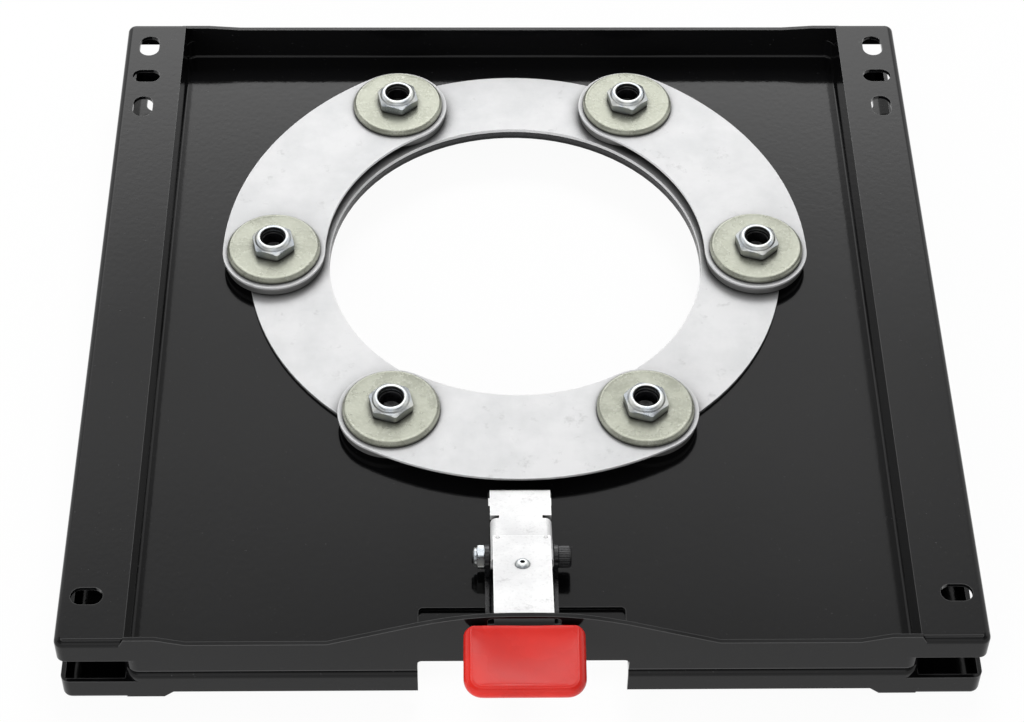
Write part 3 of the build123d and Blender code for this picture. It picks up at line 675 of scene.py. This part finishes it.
# Pivot bolt: a black socket head with a knurled side, and its flanged nut, turned along X
pivot_middle, pivot_size = centre_and_size("pivot_bolt")
pivot_left = pivot_middle.x - pivot_size.x / 2
onto_x = Matrix.Rotation(math.pi / 2, 4, "Y")
pivot_place = Matrix.Translation((pivot_left, pivot_middle.y, pivot_middle.z)) @ onto_x
head_r, head_height, shank_r = pivot_size.z / 2, 5.8 * mm, 3.0 * mm
head_foot = pivot_size.x - head_height
knurl_depth, knurl_ridges = 0.22 * mm, 30
socket_half_width, socket_depth = 2.5 * mm, 3.0 * mm


def pivot_bolt_outline(angle):
    knurl = head_r - knurl_depth * abs(math.sin(knurl_ridges / 2 * angle))
    socket = socket_half_width / math.cos(past_flat(angle))
    return (
        (0, 0),
        (shank_r - 0.5 * mm, 0),
        (shank_r, 0.5 * mm),
        (shank_r, head_foot),
        (head_r - 0.3 * mm, head_foot),
        (knurl, head_foot + 0.3 * mm),
        (knurl, pivot_size.x - 0.9 * mm),
        (head_r - 0.5 * mm, pivot_size.x - 0.35 * mm),
        (head_r - 0.9 * mm, pivot_size.x),
        (socket + 0.25 * mm, pivot_size.x),
        (socket, pivot_size.x - 0.25 * mm),
        (socket, pivot_size.x - socket_depth),
        (0, pivot_size.x - socket_depth - 0.3 * mm),
    )


screw = turned("pivot_screw", pivot_bolt_outline, pivot_place, 180)
stand_for(soften(screw, 0.06 * mm), "pivot_bolt")

nut_middle, nut_size = centre_and_size("pivot_nut")
nut_left = nut_middle.x - nut_size.x / 2
nut_place = Matrix.Translation((nut_left, nut_middle.y, nut_middle.z)) @ onto_x
pivot_flats, pivot_cut = nut_size.y, 0.15 * mm
flange_height = 1.5 * mm


def pivot_nut_outline(angle):
    wall, slope = hex_wall(angle, pivot_flats, pivot_cut)
    return (
        (shank_r + 0.05 * mm, 0.4 * mm),
        (shank_r + 0.5 * mm, 0),
        (4.0 * mm, 0.1 * mm),
        (4.3 * mm, 0.5 * mm),
        (4.35 * mm, flange_height),
        (pivot_flats / 2 - pivot_cut, flange_height),
        (wall, flange_height + slope),
        (wall, nut_size.x - slope),
        (pivot_flats / 2 - pivot_cut, nut_size.x),
        (shank_r + 0.05 * mm, nut_size.x),
    )


pivot_lock_nut = turned("pivot_lock_nut", pivot_nut_outline, nut_place, hex_sides)
stand_for(soften(pivot_lock_nut, small_edge), "pivot_nut")

# Handle: dipped vinyl with soft sides and front, a slightly dished top and a crisp rear lip
grip_middle, grip_size = centre_and_size("handle_grip")
grip_half_width, grip_half_length, grip_half_thick = grip_size.x / 2, 31.5 / 2 * mm, 7.6 / 2 * mm
grip_edge = 3.6 * mm
grip_rear_corner, grip_front_corner = 3.8 * mm, 8.0 * mm
rear_draw_in, rear_corner_draw_in = 0.08, 0.8
grip_droop = math.radians(9)
grip_turn = Matrix.Translation(grip_middle) @ Matrix.Rotation(grip_droop, 4, "X")
corner_steps, side_steps, long_side = 8, 8, 8 * mm
edge_steps, edge_step_angle = range(6), math.radians(18)
dish_depth, top_wave = 0.6 * mm, 0.12 * mm
lip_curve, lip_wave, lip_inset, lip_lift = 0.3 * mm, 0.12 * mm, 0.22 * mm, 0.7 * mm


def grip_loop(inset):
    """Rounded outline of the handle at an inset, with a steeper rear side."""
    wide = grip_half_width - inset
    front, rear = -grip_half_length + inset, grip_half_length - rear_draw_in * inset
    front_r = max(grip_front_corner - inset, 1.0 * mm)
    rear_r = max(grip_rear_corner - rear_corner_draw_in * inset, 0.9 * mm)
    corners = (
        (wide - rear_r, rear - rear_r, rear_r, 0),
        (-wide + rear_r, rear - rear_r, rear_r, 90),
        (-wide + front_r, front + front_r, front_r, 180),
        (wide - front_r, front + front_r, front_r, 270),
    )
    loop = []
    for x, y, r, start in corners:
        for step in range(corner_steps + 1):
            angle = math.radians(start + 90 * step / corner_steps)
            loop.append((x + r * math.cos(angle), y + r * math.sin(angle)))
    filled = []
    for here, ahead in zip(loop, loop[1:] + loop[:1]):
        (x, y), (next_x, next_y) = here, ahead
        pieces = side_steps if math.dist(here, ahead) > long_side else 1
        for step in range(pieces):
            share = step / pieces
            filled.append((x + (next_x - x) * share, y + (next_y - y) * share))
    return filled


def grip_layers():
    """Outlines of the handle from the middle of its underside to the middle of its top."""
    layers = []
    for share in (0.04, 0.5):
        layers.append([(x * share, y * share, -grip_half_thick) for x, y in grip_loop(grip_edge)])
    for step in edge_steps:
        angle = edge_step_angle * step
        inset, rise = grip_edge * (1 - math.sin(angle)), grip_edge * (1 - math.cos(angle))
        layers.append([(x, y, -grip_half_thick + rise) for x, y in grip_loop(inset)])
    for step in edge_steps:
        angle = edge_step_angle * step
        inset, fall = grip_edge * (1 - math.cos(angle)), grip_edge * (1 - math.sin(angle))
        layers.append([(x, y, grip_half_thick - fall) for x, y in grip_loop(inset)])
    for share in (0.95, 0.88, 0.78, 0.66, 0.52, 0.36, 0.2, 0.04):
        layer = []
        for x, y in grip_loop(grip_edge):
            across = x * share / (grip_half_width - grip_edge)
            along = y * share / grip_half_length
            dish = dish_depth * max(0, 1 - across ** 4) * max(0, 1 - along ** 2)
            wave = top_wave * math.sin(2.6 * across + 1.7 * along + 0.6) * (1 - share ** 4)
            layer.append((x * share, y * share, grip_half_thick - dish + wave))
        layers.append(layer)
    return layers


def with_lip(x, y, z):
    """A point of the handle, with the rear side drawn in unevenly and its top edge raised."""
    back = max(0.0, y / grip_half_length)
    side = abs(x) / grip_half_width
    upper = max(0.0, z / grip_half_thick)
    sag = lip_curve * (1 - side ** 4) + lip_wave * math.sin(x * 260 + 1) + lip_inset
    return Vector((x, y - sag * back ** 6, z + lip_lift * back ** 8 * upper))


def grip_mesh():
    """The handle's outlines joined into one closed form."""
    work = bmesh.new()
    rows = [
        [work.verts.new(grip_turn @ with_lip(*point)) for point in layer]
        for layer in grip_layers()
    ]
    bridge(work, rows)
    work.faces.new(list(reversed(rows[0])))
    work.faces.new(rows[-1])
    return closed_mesh("handle", work)


handle = new_piece("handle", grip_mesh())
smooth = handle.modifiers.new("smooth", "SUBSURF")
smooth.levels = smooth.render_levels = 2
stand_for(handle, "handle_grip")

# Return spring: round wire, wound round the rivet's tail, with flat end turns
spring_middle, spring_size = centre_and_size("return_spring")
spring_low, spring_wire_r = spring_middle.z - spring_size.z / 2, 0.62 * mm
spring_coil_r = spring_size.x / 2 - spring_wire_r
spring_turns, spring_steps, wire_sides = 5.5, 176, 10
end_turn, end_rise, middle_rise = 0.8, 0.08, 0.84


def spring_line(step):
    """Middle of the wire; each flat end turn takes only a small share of the rise."""
    wound = step / spring_steps * spring_turns
    middle_share = min(max((wound - end_turn) / (spring_turns - 2 * end_turn), 0), 1)
    first_share = min(wound, end_turn) / end_turn
    last_share = max(wound - spring_turns + end_turn, 0) / end_turn
    risen = end_rise * (first_share + last_share) + middle_rise * middle_share
    climb = spring_size.z - 2 * spring_wire_r
    angle = math.tau * wound
    return Vector((
        spring_middle.x + spring_coil_r * math.cos(angle),
        spring_middle.y + spring_coil_r * math.sin(angle),
        spring_low + spring_wire_r + climb * risen,
    ))


def spring_mesh():
    """The round wire along its line, closed at both ends."""
    work = bmesh.new()
    rows = []
    for step in range(spring_steps + 1):
        here = spring_line(step)
        behind, ahead = spring_line(max(step - 1, 0)), spring_line(min(step + 1, spring_steps))
        outward = (here - Vector((spring_middle.x, spring_middle.y, here.z))).normalized()
        across = (ahead - behind).normalized().cross(outward).normalized()
        row = []
        for side in range(wire_sides):
            angle = math.tau * side / wire_sides
            off_middle = math.cos(angle) * outward + math.sin(angle) * across
            row.append(work.verts.new(here + spring_wire_r * off_middle))
        rows.append(row)
    bridge(work, rows)
    work.faces.new(rows[0])
    work.faces.new(rows[-1])
    return closed_mesh("spring_coil", work)


spring = stand_for(new_piece("spring_coil", spring_mesh()), "return_spring")
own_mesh(spring)

# Floor, just under the soles, so that the two never share a plane
floor_width, floor_z = 12, -0.1 * mm
background_share = 0.95
bpy.ops.mesh.primitive_plane_add(size=floor_width, location=(0, 0, floor_z))
floor = bpy.context.object
floor.name = "floor"


def seen_rays(graph):
    """1 for the rays that show the background: camera, mirror and glass rays."""
    path = graph.node("ShaderNodeLightPath").outputs
    direct = graph.math("MAXIMUM", path["Is Camera Ray"], path["Is Transmission Ray"])
    return graph.math("MAXIMUM", direct, path["Is Glossy Ray"])


def pale_floor(graph, place):
    """White floor: it takes the object's soft shadow and stays white away from it."""
    matt = graph.node("ShaderNodeBsdfDiffuse", color=(0.9, 0.9, 0.9, 1))
    glow = graph.node("ShaderNodeEmission", color=(1, 1, 1, 1), strength=1.0)
    made = graph.node("ShaderNodeMixShader")
    graph.feed(made.inputs[0], graph.math("MULTIPLY", seen_rays(graph), background_share))
    graph.feed(made.inputs[1], matt.outputs[0])
    graph.feed(made.inputs[2], glow.outputs[0])
    return made


floor.data.materials.append(material("floor", pale_floor))

# World: a white backdrop up to eye level, soft boxes above it, and even soft light
world = bpy.data.worlds.new("studio")
bpy.context.scene.world = world
world.use_nodes = True
sky = Graph(world.node_tree)
split = sky.node("ShaderNodeSeparateXYZ")
sky.feed(split.inputs[0], sky.node("ShaderNodeTexCoord").outputs["Generated"])
height = split.outputs["Z"]

# Strength of the soft boxes at each height, as the sine of the angle above the horizon
box_levels = (
    (0.0, 1.0), (0.2, 1.0), (0.35, 4.0), (0.67, 4.6), (0.69, 3.6), (0.707, 2.8),
    (0.722, 2.25), (0.74, 1.95), (0.766, 2.0), (0.785, 1.75), (0.8, 1.5), (0.815, 1.3),
    (0.86, 0.95), (0.9, 3.4), (0.94, 4.6), (0.97, 1.4), (1.0, 0.8),
)
box_strength, even_strength = 4.8, 0.45
boxes = sky.ramp(height, *((z, strength / box_strength) for z, strength in box_levels))

# The boxes are dimmer towards the sides and in front, between these heights
off_middle = sky.math("ABSOLUTE", sky.math("ADD", split.outputs["X"], 0.03))
sideways = sky.ramp(off_middle, (0.17, 1.0), (0.46, 0.3))
behind = sky.ramp(sky.math("ADD", split.outputs["Y"], 0.5), (0.3, 0.3), (0.55, 1.0))
over_low = sky.ramp(height, (0.2, 0.0), (0.35, 1.0))
under_high = sky.ramp(height, (0.9, 1.0), (0.97, 0.0))
between = sky.math("MULTIPLY", over_low, under_high)
veil = sky.mix(between, (1.0, 1.0, 1.0), sky.math("MULTIPLY", sideways, behind))

shown = sky.multiply(boxes, veil)
backdrop = sky.node("ShaderNodeBackground", color=shown, strength=box_strength)
soft_light = sky.node("ShaderNodeBackground", color=(1, 1, 1, 1), strength=even_strength)
both = sky.node("ShaderNodeMixShader")
sky.feed(both.inputs[0], seen_rays(sky))
sky.feed(both.inputs[1], soft_light.outputs[0])
sky.feed(both.inputs[2], backdrop.outputs[0])
sky.feed(sky.node("ShaderNodeOutputWorld").inputs["Surface"], both.outputs[0])

# Broad lamps: one above the back edge for the soft shadows, a weak one for the upright front
for lamp_name, place, wide, deep, power in (
    ("rear_lamp", (0.15, 1.3, 1.6), 0.9, 0.6, 27),
    ("front_lamp", (-0.8, -1.3, 0.5), 1.2, 0.6, 13),
):
    lamp_data = bpy.data.lights.new(lamp_name, "AREA")
    lamp_data.shape = "RECTANGLE"
    lamp_data.size, lamp_data.size_y = wide, deep
    lamp_data.energy = power
    lamp = bpy.data.objects.new(lamp_name, lamp_data)
    lamp.location = place
    lamp.rotation_euler = (-lamp.location).to_track_quat("-Z", "Y").to_euler()
    lamp.visible_glossy = False
    bpy.context.scene.collection.objects.link(lamp)
